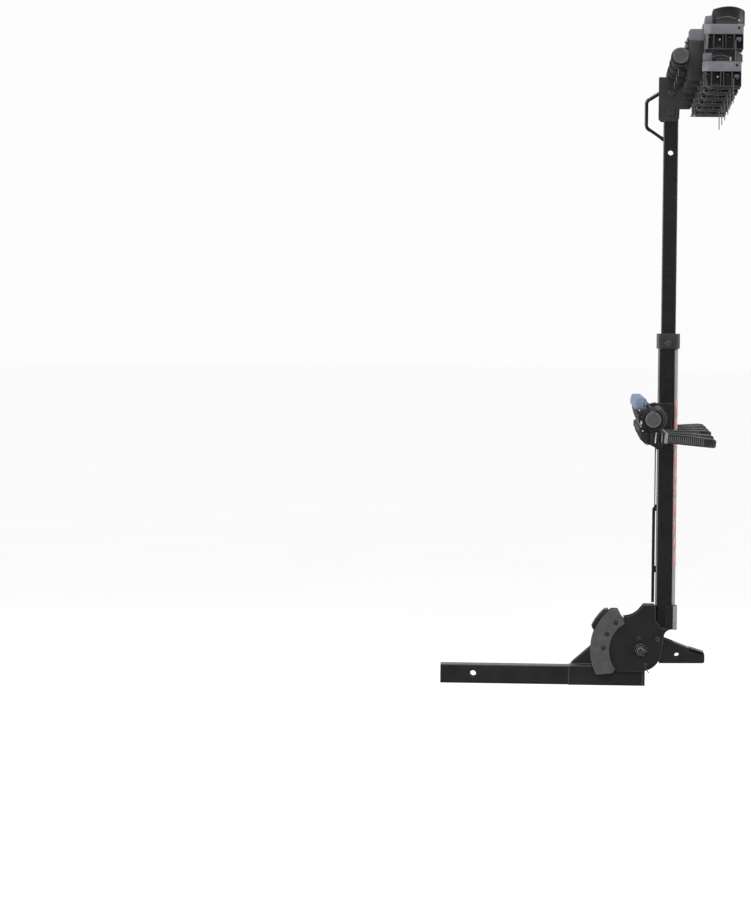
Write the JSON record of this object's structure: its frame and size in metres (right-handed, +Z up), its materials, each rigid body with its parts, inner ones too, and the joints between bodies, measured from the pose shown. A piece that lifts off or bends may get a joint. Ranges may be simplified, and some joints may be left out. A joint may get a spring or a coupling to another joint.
{
  "type": "hitch mounted bike rack",
  "caption": "Vertical hitch rack with a tilting telescopic mast, strapped crown cradles on the upper bar and wheel straps on the lower bar.",
  "frame": {"origin": "middle of the hitch-pin bore in the hitch tube", "axes": "+X rearward, away from the vehicle; +Y to the vehicle's right, along the hitch pin; +Z up, along the mast at rest"},
  "size_m": [0.7499, 1.29, 1.716],
  "materials": {
    "black_steel": "gloss powder coat",
    "grey_steel": "satin powder coat",
    "cover_grey": "fine grain",
    "black_plastic": "moulded",
    "cradle_grey": "moulded, fine grain",
    "lever_blue": "moulded",
    "strap_rubber": "toothed",
    "zinc_bolt": "black zinc"
  },
  "bodies": {
    "base": {"hitch_tube": "black_steel", "base_box": "black_steel", "base_end_cap": "black_plastic", "index_plates": "black_steel", "arc_covers": "cover_grey", "cover_screws": "zinc_bolt", "pivot_bolt": "zinc_bolt"},
    "lower_mast": {"tilt_plate_left": "black_steel", "tilt_plate_right": "black_steel", "foot_pins": "zinc_bolt", "mast_socket": "black_steel", "lower_mast_tube": "black_steel", "mast_collar": "grey_steel", "collar_bolt": "zinc_bolt", "front_rail": "black_steel", "lower_crossbar": "black_steel", "lower_bar_end_caps": "cover_grey", "lower_bar_bracket": "black_steel", "wheel_straps": "strap_rubber", "wheel_knobs": "black_plastic", "wheel_holder_1": "black_plastic", "wheel_holder_2": "black_plastic", "wheel_holder_3": "black_plastic", "wheel_holder_4": "black_plastic", "wheel_holder_5": "black_plastic", "wheel_holder_6": "black_plastic"},
    "pedal": {"foot_pedal": "black_steel"},
    "upper_mast": {"upper_mast_tube": "black_steel", "upper_crossbar": "black_steel", "upper_bar_end_caps": "cover_grey", "head_plates": "grey_steel", "head_bolts": "zinc_bolt", "grab_handle": "black_steel", "cradle_clamps": "grey_steel", "cradle_clamp_bolts": "black_plastic", "cradle_straps": "strap_rubber", "crown_cradle_1": "cradle_grey", "crown_cradle_2": "cradle_grey", "crown_cradle_3": "cradle_grey", "crown_cradle_4": "cradle_grey", "crown_cradle_5": "cradle_grey", "crown_cradle_6": "cradle_grey"},
    "wheel_lever_1": {"wheel_lever_1": "lever_blue"},
    "cradle_lever_upper_1": {"cradle_lever_upper_1": "lever_blue"},
    "cradle_lever_lower_1": {"cradle_lever_lower_1": "lever_blue"},
    "wheel_lever_2": {"wheel_lever_2": "lever_blue"},
    "cradle_lever_upper_2": {"cradle_lever_upper_2": "lever_blue"},
    "cradle_lever_lower_2": {"cradle_lever_lower_2": "lever_blue"},
    "wheel_lever_3": {"wheel_lever_3": "lever_blue"},
    "cradle_lever_upper_3": {"cradle_lever_upper_3": "lever_blue"},
    "cradle_lever_lower_3": {"cradle_lever_lower_3": "lever_blue"},
    "wheel_lever_4": {"wheel_lever_4": "lever_blue"},
    "cradle_lever_upper_4": {"cradle_lever_upper_4": "lever_blue"},
    "cradle_lever_lower_4": {"cradle_lever_lower_4": "lever_blue"},
    "wheel_lever_5": {"wheel_lever_5": "lever_blue"},
    "cradle_lever_upper_5": {"cradle_lever_upper_5": "lever_blue"},
    "cradle_lever_lower_5": {"cradle_lever_lower_5": "lever_blue"},
    "wheel_lever_6": {"wheel_lever_6": "lever_blue"},
    "cradle_lever_upper_6": {"cradle_lever_upper_6": "lever_blue"},
    "cradle_lever_lower_6": {"cradle_lever_lower_6": "lever_blue"}
  },
  "joints": [
    {"name": "mast_tilt", "type": "hinge", "parent": "base", "child": "lower_mast", "pos_m": [0.436, 0, 0.067], "axis": [0, 1, 0], "range_deg": [0, 44]},
    {"name": "pedal_press", "type": "hinge", "parent": "lower_mast", "child": "pedal", "pos_m": [0.48, 0, 0.097], "axis": [0, 1, 0], "range_deg": [0, 12], "stiffness_Nm_per_rad": 6, "springref_deg": -20.05},
    {"name": "mast_height", "type": "slide", "parent": "lower_mast", "child": "upper_mast", "axis": [0, 0, 1], "range_m": [-0.495, 0]},
    {"name": "wheel_lever_1_lift", "type": "hinge", "parent": "lower_mast", "child": "wheel_lever_1", "pos_m": [0.438, -0.575, 0.71], "axis": [0, 1, 0], "range_deg": [0, 30], "stiffness_Nm_per_rad": 0.2, "springref_deg": -22.92},
    {"name": "cradle_lever_upper_1_lift", "type": "hinge", "parent": "upper_mast", "child": "cradle_lever_upper_1", "pos_m": [0.6455, -0.575, 1.6125], "axis": [0, -1, 0], "range_deg": [0, 40], "stiffness_Nm_per_rad": 0.02, "springref_deg": -22.92},
    {"name": "cradle_lever_lower_1_lift", "type": "hinge", "parent": "upper_mast", "child": "cradle_lever_lower_1", "pos_m": [0.6415, -0.575, 1.5215], "axis": [0, -1, 0], "range_deg": [0, 40], "stiffness_Nm_per_rad": 0.02, "springref_deg": -22.92},
    {"name": "wheel_lever_2_lift", "type": "hinge", "parent": "lower_mast", "child": "wheel_lever_2", "pos_m": [0.438, -0.345, 0.71], "axis": [0, 1, 0], "range_deg": [0, 30], "stiffness_Nm_per_rad": 0.2, "springref_deg": -22.92},
    {"name": "cradle_lever_upper_2_lift", "type": "hinge", "parent": "upper_mast", "child": "cradle_lever_upper_2", "pos_m": [0.6455, -0.345, 1.6125], "axis": [0, -1, 0], "range_deg": [0, 40], "stiffness_Nm_per_rad": 0.02, "springref_deg": -22.92},
    {"name": "cradle_lever_lower_2_lift", "type": "hinge", "parent": "upper_mast", "child": "cradle_lever_lower_2", "pos_m": [0.6415, -0.345, 1.5215], "axis": [0, -1, 0], "range_deg": [0, 40], "stiffness_Nm_per_rad": 0.02, "springref_deg": -22.92},
    {"name": "wheel_lever_3_lift", "type": "hinge", "parent": "lower_mast", "child": "wheel_lever_3", "pos_m": [0.438, -0.115, 0.71], "axis": [0, 1, 0], "range_deg": [0, 30], "stiffness_Nm_per_rad": 0.2, "springref_deg": -22.92},
    {"name": "cradle_lever_upper_3_lift", "type": "hinge", "parent": "upper_mast", "child": "cradle_lever_upper_3", "pos_m": [0.6455, -0.115, 1.6125], "axis": [0, -1, 0], "range_deg": [0, 40], "stiffness_Nm_per_rad": 0.02, "springref_deg": -22.92},
    {"name": "cradle_lever_lower_3_lift", "type": "hinge", "parent": "upper_mast", "child": "cradle_lever_lower_3", "pos_m": [0.6415, -0.115, 1.5215], "axis": [0, -1, 0], "range_deg": [0, 40], "stiffness_Nm_per_rad": 0.02, "springref_deg": -22.92},
    {"name": "wheel_lever_4_lift", "type": "hinge", "parent": "lower_mast", "child": "wheel_lever_4", "pos_m": [0.438, 0.115, 0.71], "axis": [0, 1, 0], "range_deg": [0, 30], "stiffness_Nm_per_rad": 0.2, "springref_deg": -22.92},
    {"name": "cradle_lever_upper_4_lift", "type": "hinge", "parent": "upper_mast", "child": "cradle_lever_upper_4", "pos_m": [0.6455, 0.115, 1.6125], "axis": [0, -1, 0], "range_deg": [0, 40], "stiffness_Nm_per_rad": 0.02, "springref_deg": -22.92},
    {"name": "cradle_lever_lower_4_lift", "type": "hinge", "parent": "upper_mast", "child": "cradle_lever_lower_4", "pos_m": [0.6415, 0.115, 1.5215], "axis": [0, -1, 0], "range_deg": [0, 40], "stiffness_Nm_per_rad": 0.02, "springref_deg": -22.92},
    {"name": "wheel_lever_5_lift", "type": "hinge", "parent": "lower_mast", "child": "wheel_lever_5", "pos_m": [0.438, 0.345, 0.71], "axis": [0, 1, 0], "range_deg": [0, 30], "stiffness_Nm_per_rad": 0.2, "springref_deg": -22.92},
    {"name": "cradle_lever_upper_5_lift", "type": "hinge", "parent": "upper_mast", "child": "cradle_lever_upper_5", "pos_m": [0.6455, 0.345, 1.6125], "axis": [0, -1, 0], "range_deg": [0, 40], "stiffness_Nm_per_rad": 0.02, "springref_deg": -22.92},
    {"name": "cradle_lever_lower_5_lift", "type": "hinge", "parent": "upper_mast", "child": "cradle_lever_lower_5", "pos_m": [0.6415, 0.345, 1.5215], "axis": [0, -1, 0], "range_deg": [0, 40], "stiffness_Nm_per_rad": 0.02, "springref_deg": -22.92},
    {"name": "wheel_lever_6_lift", "type": "hinge", "parent": "lower_mast", "child": "wheel_lever_6", "pos_m": [0.438, 0.575, 0.71], "axis": [0, 1, 0], "range_deg": [0, 30], "stiffness_Nm_per_rad": 0.2, "springref_deg": -22.92},
    {"name": "cradle_lever_upper_6_lift", "type": "hinge", "parent": "upper_mast", "child": "cradle_lever_upper_6", "pos_m": [0.6455, 0.575, 1.6125], "axis": [0, -1, 0], "range_deg": [0, 40], "stiffness_Nm_per_rad": 0.02, "springref_deg": -22.92},
    {"name": "cradle_lever_lower_6_lift", "type": "hinge", "parent": "upper_mast", "child": "cradle_lever_lower_6", "pos_m": [0.6415, 0.575, 1.5215], "axis": [0, -1, 0], "range_deg": [0, 40], "stiffness_Nm_per_rad": 0.02, "springref_deg": -22.92}
  ]
}
